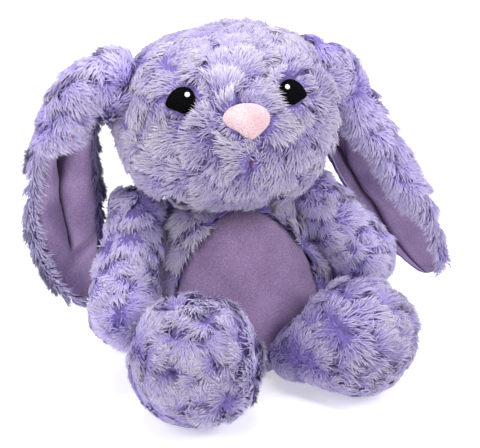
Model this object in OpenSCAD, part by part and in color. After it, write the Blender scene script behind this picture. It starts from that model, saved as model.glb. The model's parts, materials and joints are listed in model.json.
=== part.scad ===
// Sitting stuffed bunny rabbit, drooping ears. Millimetres, +Z up, the face looks along -Y.
// The origin is the middle of the flat seat, on the surface that the bunny sits on.
// Every skin panel is drawn at its cloth: the pile stands a further 8 to 10 mm outside it.

/* [Cloth] */
// Thickness of the plush cloth with the foot of its pile
cloth = 5; // [3:0.5:7]
// Thickness of the short velour
velour = 2; // [1:0.5:3]
// Slack between the stuffing and the cloth around it
slack = 0.8; // [0.7:0.1:1.5]

/* [Head] */
// Height of the middle of the head above the seat
head_z = 195; // [190:1:205]
// How far the head sits forward of the seat's middle
head_forward = 15; // [10:1:20]
// Half of the head's width
head_half_w = 73; // [66:1:76]
// Half of the head's depth
head_half_d = 66; // [60:1:70]
// Half of the head's height
head_half_h = 58; // [52:1:60]
// How far the muzzle stands out of the round head
muzzle_out = 7; // [0:1:12]
// Degrees that the face is turned towards the bunny's right
face_turn = 3; // [0:1:10]
// How far the head and limbs sit to the bunny's right of the body's middle
aside = 6; // [4:1:7]

/* [Face] */
// Width of the velour nose
nose_w = 37; // [28:1:42]
// Height of the velour nose
nose_h = 27; // [20:1:32]
// Degrees from the middle of the face out to the bunny's right eye
eye_right_out = 39; // [34:1:42]
// Degrees from the middle of the face out to the bunny's left eye
eye_left_out = 35; // [32:1:42]
// Degrees that the eyes sit above the middle of the head
eye_up = 22; // [18:1:30]
// Width of an embroidered eye
eye_w = 24; // [18:1:28]
// Height of an embroidered eye
eye_h = 20; // [14:1:22]

/* [Body] */
// Half of the body's width at its widest
body_half_w = 82; // [74:1:83]
// Height of the widest part of the body
belly_z = 46; // [42:1:50]
// Height of the top of the body, at the neck
body_top = 135; // [130:1:135]
// Half angle that the smooth belly patch spans at its widest
patch_half = 46; // [30:1:50]
// Degrees that the belly patch sits round towards the bunny's left
patch_turn = 4; // [0:1:10]
// Height of the seat pouch with the beans
pouch_h = 16; // [10:1:20]
// Radius of the tail
tail_r = 19; // [14:1:21]

/* [Limbs] */
// Radius of an arm at the shoulder
shoulder_r = 17; // [14:1:18]
// Radius of a hand
hand_r = 21; // [17:1:22]
// Radius of a leg at the hip
hip_r = 18; // [15:1:18]
// Radius of the bunny's right foot, which points forwards
foot_right_r = 42; // [36:1:43]
// Radius of the bunny's left foot, which is splayed outwards
foot_left_r = 38; // [34:1:39]

/* [Ears] */
// Width of an ear laid out across its middle
ear_w = 42; // [36:1:46]
// Width of an ear where it is gathered into the head
ear_root_w = 16; // [12:1:18]
// Half angle of the lengthwise fold of an ear
ear_fold = 62; // [45:1:75]

/* [Hidden] */

FUR = [0.68, 0.64, 0.82];
VELOUR = [0.58, 0.49, 0.64];
PINK = [0.98, 0.85, 0.88];
FILL = [0.96, 0.96, 0.94];
WHITE = [1, 1, 1];
BLACK = [0.09, 0.08, 0.1];

// "right" and "left" are the bunny's own: its right side is at -X.

// ---- general shapes -------------------------------------------------------

// Point on a grid of rows (j) and columns (i) for each of two faces; a pole is one shared point.
function grid_index(i, j, face, nu, nv, poles) =
    face * (nu + 1) * (nv + 1) + j * (nu + 1)
    + ((poles[0] && j == 0) || (poles[1] && j == nv) ? 0 : i);

// The two triangles of a quad a-b-c-d, leaving out one that a pole has closed.
function quad(a, b, c, d) = concat(
    a == b || b == c || a == c ? [] : [[a, b, c]],
    a == c || c == d || a == d ? [] : [[a, c, d]]);

// Neighbouring patches split their shared side walls along the same diagonals, so they fit exactly.
// A thick patch between the surfaces f(u, v, 0) outside and f(u, v, 1) inside, u and v from 0 to 1.
module patch(f, nu, nv, poles = [false, false]) {
    function at(i, j, face) = grid_index(i, j, face, nu, nv, poles);
    points = [for (face = [0, 1], j = [0:nv], i = [0:nu]) f(i / nu, j / nv, face)];
    skins = [for (j = [0:nv - 1], i = [0:nu - 1]) each concat(
        quad(at(i, j, 0), at(i + 1, j, 0), at(i + 1, j + 1, 0), at(i, j + 1, 0)),
        quad(at(i, j, 1), at(i, j + 1, 1), at(i + 1, j + 1, 1), at(i + 1, j, 1)))];
    sides = [for (j = [0:nv - 1]) each concat(
        quad(at(0, j, 0), at(0, j + 1, 0), at(0, j + 1, 1), at(0, j, 1)),
        quad(at(nu, j, 0), at(nu, j, 1), at(nu, j + 1, 1), at(nu, j + 1, 0)))];
    ends = [for (i = [0:nu - 1]) each concat(
        poles[0] ? [] : quad(at(i, 0, 1), at(i + 1, 0, 1), at(i + 1, 0, 0), at(i, 0, 0)),
        poles[1] ? [] : quad(at(i, nv, 0), at(i + 1, nv, 0), at(i + 1, nv, 1), at(i, nv, 1)))];
    polyhedron(points, concat(skins, sides, ends), convexity = 6);
}

// A solid whose surface is f(u, v), closed around u and drawn to a point at v = 0 and v = 1.
module ball(f, nu, nv) {
    function at(i, j) = j == 0 ? 0 : j == nv ? 1 + (nv - 1) * nu : 1 + (j - 1) * nu + i % nu;
    points = concat([f(0, 0)], [for (j = [1:nv - 1], i = [0:nu - 1]) f(i / nu, j / nv)], [f(0, 1)]);
    faces = [for (j = [0:nv - 1], i = [0:nu - 1]) each
        quad(at(i, j), at(i + 1, j), at(i + 1, j + 1), at(i, j + 1))];
    polyhedron(points, faces, convexity = 4);
}

function mix(a, b, k) = a + (b - a) * k;
function unit(v) = v / norm(v);

// ---- head: a rounded box of a head around its own middle, face along -Y ----

HEAD_AT = [-aside, -head_forward, head_z];
HEAD_ROUND = 2.5;
GUSSET_HALF = 24;
HEAD_ROWS = 18;

// Distance from the head's middle to its skin along the direction d.
function head_reach(d) =
    let (muzzle = max(0, -d.y - 0.35 * abs(d.x) - 0.5 * abs(d.z + 0.12) - 0.35) / 0.65)
    1 / pow(pow(abs(d.x) / head_half_w, HEAD_ROUND)
        + pow(abs(d.y) / head_half_d, HEAD_ROUND)
        + pow(abs(d.z) / head_half_h, HEAD_ROUND), 1 / HEAD_ROUND)
    + muzzle_out * muzzle * muzzle * (3 - 2 * muzzle);

// Direction at the angle around (from the top, towards +X) and back (from the nose to the nape).
function head_way(around, back) =
    [sin(back) * sin(around), -cos(back), sin(back) * cos(around)];

function head_point(around, back, depth) =
    let (d = head_way(around, back)) d * (head_reach(d) - depth);

module on_head() {
    translate(HEAD_AT) rotate([0, 0, -face_turn]) children();
}

// A panel of the head's skin between two angles around the nose-to-nape line.
module head_panel(from, to, columns) {
    color(FUR) on_head()
        patch(function (u, v, face) head_point(mix(to, from, u), 180 * v, face * cloth),
            columns, HEAD_ROWS, [true, true]);
}

module head_left_panel() { head_panel(GUSSET_HALF, 180, 13); }
module head_right_panel() { head_panel(-180, -GUSSET_HALF, 13); }
module head_gusset() { head_panel(-GUSSET_HALF, GUSSET_HALF, 4); }

module head_stuffing() {
    color(FILL) on_head()
        ball(function (u, v) head_point(-360 * u, 180 * v, cloth + slack), 30, 18);
}

// ---- face: thin pieces laid on the head ------------------------------------

NOSE_UP = 11;
MOUTH_UP = -16;
MOUTH_OUT = 4;
FACE_LIFT = 0.4;

// Direction of a face piece: out to the side and up, in degrees from straight ahead.
function face_way(out, up) = [sin(out) * cos(up), -cos(out) * cos(up), sin(up)];

// A point of the face moved by x across and y up, in millimetres, on the skin, and then lifted.
function face_point(out, up, x, y, lift) =
    let (d = face_way(out, up), across = [cos(out), sin(out), 0], high = cross(across, -d),
        p = unit(d * head_reach(d) + across * x + high * y))
    p * (head_reach(p) + FACE_LIFT + lift);

// A face piece: a dome over an outline, which is a function of the angle and gives its radius.
module face_piece(out, up, outline, thick, dome, rings = 4, spokes = 20) {
    function lift(k) = thick + dome * (1 - k * k);
    on_head() ball(function (u, v)
        let (under = v < 0.5, k = under ? 2 * v : 2 - 2 * v, a = -360 * u, r = k * outline(a))
        face_point(out, up, r * cos(a), r * sin(a), under ? 0 : lift(k)), spokes, 2 * rings);
}

// Outline of the nose: a wide rounded triangle, its point downwards.
function nose_outline(a) =
    let (x = cos(a), y = sin(a), low = y < 0 ? 1 : 0.86)
    1 / pow(pow(abs(x) / (nose_w / 2), 2.1) + pow(abs(y) / (nose_h / 2 * low), 2.1), 1 / 2.1)
    * (1 - 0.14 * pow(max(0, -sin(a) * abs(cos(a)) * 2), 1.5));

module nose() {
    color(PINK) face_piece(0, NOSE_UP, function (a) nose_outline(a), velour, 4);
}

// Outline of an eye: an almond, drawn out to a point at its outer lower corner.
function eye_outline(a, side) =
    let (corner = side > 0 ? -12 : -168, off = abs((a - corner + 900) % 360 - 180))
    1 / sqrt(pow(cos(a) / (eye_w * 0.42), 2) + pow(sin(a) / (eye_h / 2), 2))
    * (1 + 0.36 * exp(-off * off / 500));

module eye(side, out) {
    color(BLACK) face_piece(side * out, eye_up, function (a) eye_outline(a, side), 0.6, 0.5);
}

module eye_left() { eye(1, eye_left_out); }
module eye_right() { eye(-1, eye_right_out); }

// The white glint sits on the eye, towards the upper inner side.
GLINT_R = 2.6;
GLINT_IN = 2.4;
GLINT_UP = 3.2;

module eye_glint(side, out) {
    color(WHITE)
        on_head() ball(function (u, v)
            let (under = v < 0.5, k = under ? 2 * v : 2 - 2 * v, a = -360 * u)
            face_point(side * out, eye_up, GLINT_R * k * cos(a) - side * GLINT_IN,
                GLINT_R * k * sin(a) + GLINT_UP, under ? 1.3 : 1.8), 12, 4);
}

module eye_glint_left() { eye_glint(1, eye_left_out); }
module eye_glint_right() { eye_glint(-1, eye_right_out); }

module mouth_stitch() {
    color("palevioletred") face_piece(MOUTH_OUT, MOUTH_UP, function (a) 1 / sqrt(pow(cos(a) / 1.5, 2)
        + pow(sin(a) / 5, 2)), 0.6, 0.8, 2, 12);
}

// ---- ears: a leaf of plush, folded lengthwise, with a velour lining --------

EAR_ROWS = 16;
EAR_COLS = 10;
EAR_CLOTH = 4;

// Places along the middle of each ear, from the head down to the tip.
EAR_RIGHT = [[-79, 2, 225], [-94, 7, 212], [-113, 14, 176], [-120, 18, 129], [-114, 18, 87], [-101, 14, 55]];
EAR_LEFT = [[78, 2, 226], [95, 9, 205], [111, 14, 178], [132, 18, 136], [155, 19, 92], [173, 17, 47]];
// The way that each ear's hollow faces.
EAR_RIGHT_FACES = [0.25, -1, 0];
EAR_LEFT_FACES = [-0.55, -0.8, -0.25];

// Smooth curve through the places p, k from 0 to 1.
function through(p, k) =
    let (n = len(p) - 1, s = min(k * n, n - 0.0001), i = floor(s), t = s - i,
        a = p[max(i - 1, 0)], b = p[i], c = p[i + 1], d = p[min(i + 2, n)])
    0.5 * (2 * b + (c - a) * t + (2 * a - 5 * b + 4 * c - d) * t * t
        + (3 * b - a - 3 * c + d) * t * t * t);

// Width of the ear along its length: gathered at the head, widest past the middle, round tip.
function ear_width(k) = k < 0.6
    ? mix(ear_root_w, ear_w, pow(sin(150 * k), 0.8))
    : ear_w * sqrt(max(0.04, 1 - pow((k - 0.6) / 0.41, 2)));

// Point of an ear: k along it, q from -1 to 1 across it, depth behind the face of the lining.
function ear_point(places, faces, k, q, depth) =
    let (middle = through(places, k) - [aside, 0, 0],
        along = unit(through(places, min(1, k + 0.02)) - through(places, max(0, k - 0.02))),
        wide = unit(cross(along, faces)), front = unit(cross(wide, along)),
        r = ear_width(k) / 2 / sin(ear_fold), a = q * ear_fold)
    middle + wide * (r + depth) * sin(a) + front * (r * 0.8 - (r + depth) * cos(a));

module ear_layer(places, faces, near, far) {
    patch(function (u, v, face)
        ear_point(places, faces, v, mix(-1, 1, u), face == 0 ? far : near), EAR_COLS, EAR_ROWS);
}

module ear_back(places, faces) { color(FUR) ear_layer(places, faces, velour, velour + EAR_CLOTH); }
module ear_lining(places, faces) { color(VELOUR) ear_layer(places, faces, 0, velour); }

module ear_left_back() { ear_back(EAR_LEFT, EAR_LEFT_FACES); }
module ear_left_lining() { ear_lining(EAR_LEFT, EAR_LEFT_FACES); }
module ear_right_back() { ear_back(EAR_RIGHT, EAR_RIGHT_FACES); }
module ear_right_lining() { ear_lining(EAR_RIGHT, EAR_RIGHT_FACES); }

// ---- body: a pear of plush panels around a belly patch, on a flat seat -----

// Depth against width, in front of the middle and behind it.
BODY_FRONT = 0.8;
BODY_BACK = 0.86;
BODY_LOW = 66;
BODY_HIGH = body_top - belly_z;
BODY_ROUND = 2.3;
BODY_TAPER = 0.0026;
BODY_ROWS = 18;
PANEL_COLS = 7;
PATCH_FIRST = 3;
PATCH_LAST = 16;
// The panels stop at the neck opening, this many degrees up their curve.
NECK_EDGE = 76;

// Half width of the body at a height, for a surface the given depth inside the skin.
function body_half(z, depth) = let (h = z - belly_z)
    h < 0
        ? (body_half_w - depth) * sqrt(max(0, 1 - pow(h / (BODY_LOW - depth), 2)))
        : (body_half_w - depth) * (1 - BODY_TAPER * h)
            * pow(max(0, 1 - pow(h / (BODY_HIGH - depth), BODY_ROUND)), 1 / BODY_ROUND);

// Height of a row: rows are closer together where the body turns in, at the seat and the neck.
function body_height(v, depth, floor_z) =
    let (low = asin(max(-1, (floor_z - belly_z) / (BODY_LOW - depth))), a = mix(low, NECK_EDGE, v))
    belly_z + sin(a) * (a < 0 ? BODY_LOW - depth : BODY_HIGH - depth);

// Point of the body: around from the front towards +X, up from 0 at the seat to 1 at the neck.
function body_point(around, v, depth, floor_z) =
    let (z = body_height(v, depth, floor_z), r = body_half(z, depth))
    [r * sin(around), -r * cos(around) * (cos(around) > 0 ? BODY_FRONT : BODY_BACK), z];

// Half angle of the belly patch on a row, 0 above and below it.
function patch_angle(row) =
    row <= PATCH_FIRST || row >= PATCH_LAST ? 0
    : let (s = (row - PATCH_FIRST) / (PATCH_LAST - PATCH_FIRST))
        patch_half * pow(1 - pow(abs(2 * s - 1), 2.2), 0.5);

// A panel between two angles, each of which may depend on the row.
module body_panel(from, to, columns) {
    color(FUR) patch(function (u, v, face)
        body_point(mix(to(v * BODY_ROWS), from(v * BODY_ROWS), u), v, face * cloth, face * cloth),
        columns, BODY_ROWS);
}

module body_front_left() {
    body_panel(function (row) patch_turn + patch_angle(row), function (row) 90, PANEL_COLS);
}
module body_front_right() {
    body_panel(function (row) -90, function (row) patch_turn - patch_angle(row), PANEL_COLS);
}
module body_back_left() { body_panel(function (row) 90, function (row) 180, PANEL_COLS); }
module body_back_right() { body_panel(function (row) -180, function (row) -90, PANEL_COLS); }

module belly_patch() {
    rows = PATCH_LAST - PATCH_FIRST;
    color(VELOUR) patch(function (u, v, face)
        let (row = PATCH_FIRST + v * rows)
        body_point(patch_turn + mix(1, -1, u) * patch_angle(row), row / BODY_ROWS,
            face * cloth, face * cloth),
        10, rows, [true, true]);
}

// The seat closes the body below: a disc whose rim fits the slant of the panels' lower edges.
module seat_panel() {
    corners = [180, 90, patch_turn, -90, -180];
    around = [for (p = [0:3], i = [0:PANEL_COLS - 1]) mix(corners[p], corners[p + 1], i / PANEL_COLS)];
    n = len(around);
    function ring(face) = [for (a = around) body_point(a, 0, face * cloth, face * cloth)];
    color(FUR) polyhedron(concat(ring(0), ring(1)), concat(
        [[for (i = [n - 1:-1:0]) i]], [[for (i = [0:n - 1]) n + i]],
        [for (i = [0:n - 1]) each let (k = (i + 1) % n) [[i, k, n + i], [k, n + k, n + i]]]),
        convexity = 2);
}

POUCH_GAP = 0.3;
POUCH_CLOTH = 1;
POUCH_LOW = cloth + POUCH_GAP;
POUCH_HIGH = POUCH_LOW + pouch_h;

// An elliptical slab with a rounded rim, which lies inside the lower part of the body.
module seat_slab(low, high, inset) {
    half = body_half(POUCH_LOW, cloth) - 5 - inset;
    ball(function (u, v)
        let (a = 180 * v - 90, rim = (high - low) / 2, side = half - rim + rim * cos(a),
            flat = abs(sin(a)) > 0.995)
        [(flat ? 0 : side) * cos(-360 * u), BODY_FRONT * (flat ? 0 : side) * sin(-360 * u),
            (low + high) / 2 + rim * sin(a)], 24, 10);
}

module bean_pouch() {
    color(WHITE) difference() {
        seat_slab(POUCH_LOW, POUCH_HIGH, 0);
        seat_slab(POUCH_LOW + POUCH_CLOTH, POUCH_HIGH - POUCH_CLOTH, POUCH_CLOTH);
    }
}

module bean_fill() {
    color("whitesmoke")
        seat_slab(POUCH_LOW + POUCH_CLOTH + slack, POUCH_HIGH - POUCH_CLOTH - slack, POUCH_CLOTH + slack);
}

// The stuffing has a flat bottom on the pouch, and a hollow on top where the neck goes in.
NECK_HOLLOW = 22;
STUFFING_TOP = 0.9;
STUFFING_IN = 2;

module body_stuffing() {
    rows = 14;
    color(FILL) ball(function (u, v)
        v == 0 ? [0, 0, POUCH_HIGH + slack]
        : v == 1 ? [NECK_PIVOT.x, NECK_PIVOT.y, body_top - NECK_HOLLOW]
        : body_point(-360 * u, (v * rows - 1) / (rows - 2) * STUFFING_TOP,
            cloth + slack + STUFFING_IN, POUCH_HIGH + slack),
        24, rows);
}

// ---- tail ------------------------------------------------------------------

// The tail is a ball cut by a flat plane where it is sewn to the back panels.
// Its skin is open on that side.
TAIL_Z = 38;
TAIL_SEAM = body_half_w * BODY_BACK + 0.3;
TAIL_FLAT = 9;
TAIL_AT = [0, TAIL_SEAM + TAIL_FLAT, TAIL_Z];

module tail_ball(inset, clear) {
    intersection() {
        translate(TAIL_AT) sphere(tail_r - inset, $fn = 48);
        translate([0, TAIL_SEAM + clear + tail_r, TAIL_Z]) cube(2 * tail_r, center = true);
    }
}

module tail_skin() {
    color(FUR) difference() {
        tail_ball(0, 0);
        translate(TAIL_AT) sphere(tail_r - cloth, $fn = 48);
    }
}

module tail_stuffing() { color(FILL) tail_ball(cloth + slack, slack); }

// ---- neck: a gathered collar that the head turns and nods on ---------------

NECK_PIVOT = [-2, -2, 128];
NECK_R = 7.5;
THREAD_R = 0.7;

module neck_collar() {
    color(FUR) translate(NECK_PIVOT) sphere(NECK_R, $fn = 48);
}

module neck_thread() {
    color(WHITE) translate([NECK_PIVOT.x, NECK_PIVOT.y, NECK_PIVOT.z + 1.5]) rotate_extrude($fn = 48)
        translate([NECK_R + 2 * THREAD_R, 0]) circle(THREAD_R, $fn = 16);
}

// ---- limbs: turned shapes between a round root at the joint and a round end

HAND_RIGHT = [-87 - aside, -47, 60];
SHOULDER_RIGHT = [-67 - aside, -9, 119];
HAND_LEFT = [107 - aside, -28, 76];
SHOULDER_LEFT = [73 - aside, -6, 119];
HIP_RIGHT = [-31 - aside, -76, 27];
FOOT_RIGHT = [-48 - aside, -112, foot_right_r + 1];
HIP_LEFT = [39 - aside, -78, 26];
FOOT_LEFT = [80 - aside, -96, foot_left_r + 1];
ARC_STEPS = 12;
SOLE_EDGE = 28;

// A distance from the axis of turning, exactly 0 on it.
function off_axis(x) = x < 0.001 ? 0 : x;

// Half outline of a limb along +Z, depth inside its skin: from angle a on the root to b on the end.
function limb_outline(length, root_r, end_r, depth, a, b) =
    let (tilt = asin((root_r - end_r) / length), r0 = root_r - depth, r1 = end_r - depth)
    concat(
        a >= tilt ? [] : [for (i = [0:ARC_STEPS]) let (t = mix(a, tilt, i / ARC_STEPS))
            [off_axis(r0 * cos(t)), r0 * sin(t)]],
        [for (i = [0:ARC_STEPS]) let (t = mix(max(a, tilt), b, i / ARC_STEPS))
            [off_axis(r1 * cos(t)), length + r1 * sin(t)]]);

// Stands a limb drawn along +Z between two places.
module between(root, end, spin = 0) {
    d = end - root;
    translate(root) rotate([0, acos(d.z / norm(d)), atan2(d.y, d.x)]) rotate([0, 0, spin]) children();
}

module limb_shell(length, root_r, end_r, a, b, turn = 360) {
    outer = limb_outline(length, root_r, end_r, 0, a, b);
    inner = limb_outline(length, root_r, end_r, cloth, a, b);
    rotate_extrude(angle = turn, $fn = 64)
        polygon(concat(outer, [for (i = [len(inner) - 1:-1:0]) inner[i]]));
}

module limb_fill(length, root_r, end_r) {
    rotate_extrude($fn = 64) polygon(limb_outline(length, root_r, end_r, cloth + slack, -90, 90));
}

// Half of an arm's skin; the two halves are sewn along the arm's inner and outer edges.
module arm_half(root, end, spin) {
    color(FUR) between(root, end, spin)
        limb_shell(norm(end - root), shoulder_r, hand_r, -90, 90, 180);
}
module arm_fill(root, end) {
    color(FILL) between(root, end) limb_fill(norm(end - root), shoulder_r, hand_r);
}

module arm_left_front() { arm_half(SHOULDER_LEFT, HAND_LEFT, 90); }
module arm_left_back() { arm_half(SHOULDER_LEFT, HAND_LEFT, -90); }
module arm_left_stuffing() { arm_fill(SHOULDER_LEFT, HAND_LEFT); }
module arm_right_front() { arm_half(SHOULDER_RIGHT, HAND_RIGHT, -90); }
module arm_right_back() { arm_half(SHOULDER_RIGHT, HAND_RIGHT, 90); }
module arm_right_stuffing() { arm_fill(SHOULDER_RIGHT, HAND_RIGHT); }

module leg_tube(root, end, foot_r) {
    color(FUR) between(root, end) limb_shell(norm(end - root), hip_r, foot_r, -90, SOLE_EDGE);
}
module foot_sole(root, end, foot_r) {
    color(FUR) between(root, end) limb_shell(norm(end - root), hip_r, foot_r, SOLE_EDGE, 90);
}
module leg_fill(root, end, foot_r) {
    color(FILL) between(root, end) limb_fill(norm(end - root), hip_r, foot_r);
}

module leg_left_tube() { leg_tube(HIP_LEFT, FOOT_LEFT, foot_left_r); }
module foot_left_sole() { foot_sole(HIP_LEFT, FOOT_LEFT, foot_left_r); }
module leg_left_stuffing() { leg_fill(HIP_LEFT, FOOT_LEFT, foot_left_r); }
module leg_right_tube() { leg_tube(HIP_RIGHT, FOOT_RIGHT, foot_right_r); }
module foot_right_sole() { foot_sole(HIP_RIGHT, FOOT_RIGHT, foot_right_r); }
module leg_right_stuffing() { leg_fill(HIP_RIGHT, FOOT_RIGHT, foot_right_r); }

head_left_panel();
head_right_panel();
head_gusset();
head_stuffing();
nose();
eye_left();
eye_right();
eye_glint_left();
eye_glint_right();
mouth_stitch();
ear_left_back();
ear_left_lining();
ear_right_back();
ear_right_lining();
neck_collar();
neck_thread();
body_front_left();
body_front_right();
body_back_left();
body_back_right();
belly_patch();
seat_panel();
bean_pouch();
bean_fill();
body_stuffing();
tail_skin();
tail_stuffing();
arm_left_front();
arm_left_back();
arm_left_stuffing();
arm_right_front();
arm_right_back();
arm_right_stuffing();
leg_left_tube();
foot_left_sole();
leg_left_stuffing();
leg_right_tube();
foot_right_sole();
leg_right_stuffing();
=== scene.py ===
"""A sitting lavender plush rabbit: its pile, velour, embroidery and filling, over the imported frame.

Lengths are worked out in millimetres and written to the meshes in metres.
"Right" and "left" are the rabbit's own: its right side is at -X, and it faces -Y.
"""
import json
import math

import bpy
import numpy as np
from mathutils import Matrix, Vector


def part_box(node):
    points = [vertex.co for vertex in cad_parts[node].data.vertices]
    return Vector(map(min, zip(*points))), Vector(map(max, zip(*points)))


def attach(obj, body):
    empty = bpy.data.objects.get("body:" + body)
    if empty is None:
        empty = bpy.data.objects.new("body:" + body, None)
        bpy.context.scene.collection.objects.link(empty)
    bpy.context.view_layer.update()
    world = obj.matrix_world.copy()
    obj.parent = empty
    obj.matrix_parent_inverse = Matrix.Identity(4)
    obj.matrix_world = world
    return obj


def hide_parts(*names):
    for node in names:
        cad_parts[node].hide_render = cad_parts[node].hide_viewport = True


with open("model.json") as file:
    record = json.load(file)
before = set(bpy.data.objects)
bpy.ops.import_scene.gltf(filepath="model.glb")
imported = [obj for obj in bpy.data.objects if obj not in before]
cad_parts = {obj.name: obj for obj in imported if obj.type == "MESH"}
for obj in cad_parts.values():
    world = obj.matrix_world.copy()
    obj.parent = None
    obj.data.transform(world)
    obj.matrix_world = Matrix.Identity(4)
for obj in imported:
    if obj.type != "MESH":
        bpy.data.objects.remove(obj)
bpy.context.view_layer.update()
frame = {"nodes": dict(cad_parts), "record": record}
MM = 1000.0


# ---- small helpers -----------------------------------------------------------

def unit(a):
    """The vectors a, each divided by its length."""
    return a / np.maximum(np.linalg.norm(a, axis=-1, keepdims=True), 1e-9)


def dot(a, b):
    """The dot product of each pair of vectors, as a column."""
    return (a * b).sum(axis=-1, keepdims=True)


def mix(a, b, k):
    """The value a fraction k of the way from a to b."""
    return a + (b - a) * k


def smooth(lo, hi, x):
    """0 below lo, 1 above hi, and 3t^2 - 2t^3 between them."""
    t = np.clip((x - lo) / (hi - lo), 0, 1)
    return t * t * (3 - 2 * t)


def ripple(p, wavelength, seed, waves=10):
    """A smooth random field in space: a sum of plane waves with random directions, about -1 to 1."""
    r = np.random.default_rng(seed)
    k = unit(r.normal(size=(waves, 3))) * (2 * np.pi / wavelength) * r.uniform(0.7, 1.4, (waves, 1))
    return np.sin(p @ k.T + r.uniform(0, 2 * np.pi, waves)).sum(axis=-1) / math.sqrt(waves)


def span(*nodes):
    """Lowest and highest corner of some CAD nodes together, in millimetres."""
    boxes = [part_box(n) for n in nodes]
    lo = np.min([b[0] for b in boxes], axis=0) * MM
    hi = np.max([b[1] for b in boxes], axis=0) * MM
    return np.array(lo, float), np.array(hi, float)


def joint_at(name):
    """Where a joint of the record turns, in millimetres."""
    joint = next(j for j in frame["record"]["behaviour"]["joints"] if j["name"] == name)
    return np.array(joint["pos_m"], float) * MM


def through(places, k):
    """Catmull-Rom curve through places, k from 0 to 1."""
    p = np.asarray(places, float)
    n = len(p) - 1
    s = np.clip(np.asarray(k, float) * n, 0, n - 1e-4)
    i = np.floor(s).astype(int)
    t = (s - i)[..., None]
    a, b = p[np.maximum(i - 1, 0)], p[i]
    c, d = p[i + 1], p[np.minimum(i + 2, n)]
    return 0.5 * (2 * b + (c - a) * t + (2 * a - 5 * b + 4 * c - d) * t ** 2
                  + (3 * b - a - 3 * c + d) * t ** 3)


def new_object(name, verts, faces, uv=None):
    """A mesh object from points in millimetres and an array of triangles or quads."""
    faces = np.asarray(faces, np.int32)
    sides = faces.shape[1]
    mesh = bpy.data.meshes.new(name)
    mesh.vertices.add(len(verts))
    mesh.vertices.foreach_set("co", (np.asarray(verts, float) / MM).astype(np.float32).ravel())
    mesh.loops.add(faces.size)
    mesh.loops.foreach_set("vertex_index", faces.ravel())
    mesh.polygons.add(len(faces))
    mesh.polygons.foreach_set("loop_start", np.arange(0, faces.size, sides, dtype=np.int32))
    mesh.polygons.foreach_set("use_smooth", np.ones(len(faces), bool))
    if uv is not None:
        layer = mesh.uv_layers.new(name="OFBake")
        layer.data.foreach_set("uv", np.asarray(uv, np.float32).ravel())
    mesh.update()
    mesh.validate()
    thing = bpy.data.objects.new(name, mesh)
    bpy.context.scene.collection.objects.link(thing)
    return thing


def grid_of(place, nu, nv):
    """Points of a surface place(u, v) on a grid, rows along v."""
    u, v = np.meshgrid(np.linspace(0, 1, nu + 1), np.linspace(0, 1, nv + 1))
    return place(u, v)


def grid_faces(nu, nv):
    """Quads of a grid of (nv + 1) rows of (nu + 1) points."""
    i, j = np.meshgrid(np.arange(nu), np.arange(nv))
    a = (j * (nu + 1) + i).ravel()
    return np.stack([a, a + 1, a + nu + 2, a + nu + 1], axis=1)


# Points closer than WELD are one point, and edges shorter than NEEDLE are dissolved, in millimetres.
WELD, NEEDLE = 0.02, 1e-3


def finish_sheet(thing, thickness=0.0):
    """Closes seams and poles, turns the faces outwards, and gives a wall its thickness."""
    bpy.ops.object.select_all(action="DESELECT")
    bpy.context.view_layer.objects.active = thing
    thing.select_set(True)
    bpy.ops.object.mode_set(mode="EDIT")
    bpy.ops.mesh.select_all(action="SELECT")
    bpy.ops.mesh.remove_doubles(threshold=WELD / MM)
    bpy.ops.mesh.dissolve_degenerate(threshold=NEEDLE / MM)
    if not thickness:
        bpy.ops.mesh.normals_make_consistent(inside=False)
    bpy.ops.object.mode_set(mode="OBJECT")
    thing.select_set(False)
    if thickness:
        wall = thing.modifiers.new("wall", "SOLIDIFY")
        wall.thickness, wall.offset = thickness / MM, -1
    return thing


def dress(thing, paint, slot, body, node=None):
    """A piece's material, the CAD node it replaces, and its body. Its slot is not used."""
    thing.data.materials.append(paint)
    if node:
        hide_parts(node)
    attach(thing, body)


# ---- materials ---------------------------------------------------------------

def material(name, roughness=0.8, sheen=0.0, sheen_roughness=0.5):
    """A new material with a Principled shader: its nodes, its links and the shader."""
    made = bpy.data.materials.new(name)
    made.use_nodes = True
    shader = made.node_tree.nodes["Principled BSDF"]
    shader.inputs["Roughness"].default_value = roughness
    shader.inputs["Sheen Weight"].default_value = sheen
    shader.inputs["Sheen Roughness"].default_value = sheen_roughness
    shader.inputs["Specular IOR Level"].default_value = 0.25
    return made, made.node_tree.nodes, made.node_tree.links, shader


def linear(rgb):
    """A colour given as it looks on a screen, 0 to 255, as the shader's linear values."""
    c = [x / 255 for x in rgb]
    return [x / 12.92 if x <= 0.04045 else ((x + 0.055) / 1.055) ** 2.4 for x in c] + [1]


def ramp(nodes, stops):
    """A colour ramp from [(place, colour)], colours as they look on a screen."""
    made = nodes.new("ShaderNodeValToRGB")
    band = made.color_ramp.elements
    while len(band) < len(stops):
        band.new(0.5)
    for element, (place, colour) in zip(band, stops):
        element.position, element.color = place, linear(colour)
    return made


def noise_of(nodes, links, scale, detail=3.0, rough=0.5, stretch=None):
    """Noise on Object coordinates, scale in features per metre, stretched by a Mapping node."""
    where = nodes.new("ShaderNodeTexCoord")
    made = nodes.new("ShaderNodeTexNoise")
    made.inputs["Scale"].default_value = scale
    made.inputs["Detail"].default_value = detail
    made.inputs["Roughness"].default_value = rough
    if stretch:
        turn = nodes.new("ShaderNodeMapping")
        turn.inputs["Scale"].default_value = stretch
        links.new(where.outputs["Object"], turn.inputs["Vector"])
        links.new(turn.outputs["Vector"], made.inputs["Vector"])
    else:
        links.new(where.outputs["Object"], made.inputs["Vector"])
    return made


def bump_from(nodes, links, height, shader, strength, distance):
    """Bump on a shader from a height output, distance in metres."""
    made = nodes.new("ShaderNodeBump")
    made.inputs["Strength"].default_value = strength
    made.inputs["Distance"].default_value = distance
    links.new(height, made.inputs["Height"])
    links.new(made.outputs["Normal"], shader.inputs["Normal"])


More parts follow.
